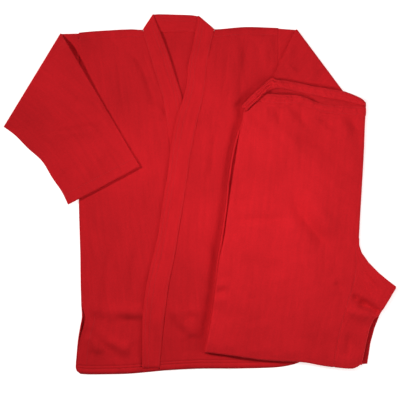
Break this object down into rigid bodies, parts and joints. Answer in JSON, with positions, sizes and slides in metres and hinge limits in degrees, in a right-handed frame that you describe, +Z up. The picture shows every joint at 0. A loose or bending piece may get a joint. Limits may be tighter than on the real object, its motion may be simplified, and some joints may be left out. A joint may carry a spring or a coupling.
{
  "type": "karate gi",
  "caption": "Karate gi laid flat: jacket with sleeves folded over its fronts, and trousers folded leg on leg and across, lying on it.",
  "frame": {"origin": "on the surface the gi lies on, under the middle of its outline", "axes": "+X to the right and +Y towards the collar as seen from above, +Z up out of the surface"},
  "size_m": [0.8638, 0.7921, 0.022],
  "materials": {
    "jacket_drill": "matt cotton drill",
    "band_drill": "matt cotton drill, stitched in rows",
    "trouser_drill": "matt cotton drill",
    "hidden_drill": "matt cotton drill in shade"
  },
  "bodies": {
    "root": {"back": "jacket_drill", "front_right": "jacket_drill", "front_left": "jacket_drill", "collar_band": "band_drill", "sleeve_right": "jacket_drill", "sleeve_left": "jacket_drill", "leg_layers": "hidden_drill", "leg_left": "trouser_drill", "gusset_left": "trouser_drill", "leg_right": "trouser_drill", "gusset_right": "trouser_drill", "waistband_front": "trouser_drill", "waistband_back": "trouser_drill"}
  },
  "joints": []
}
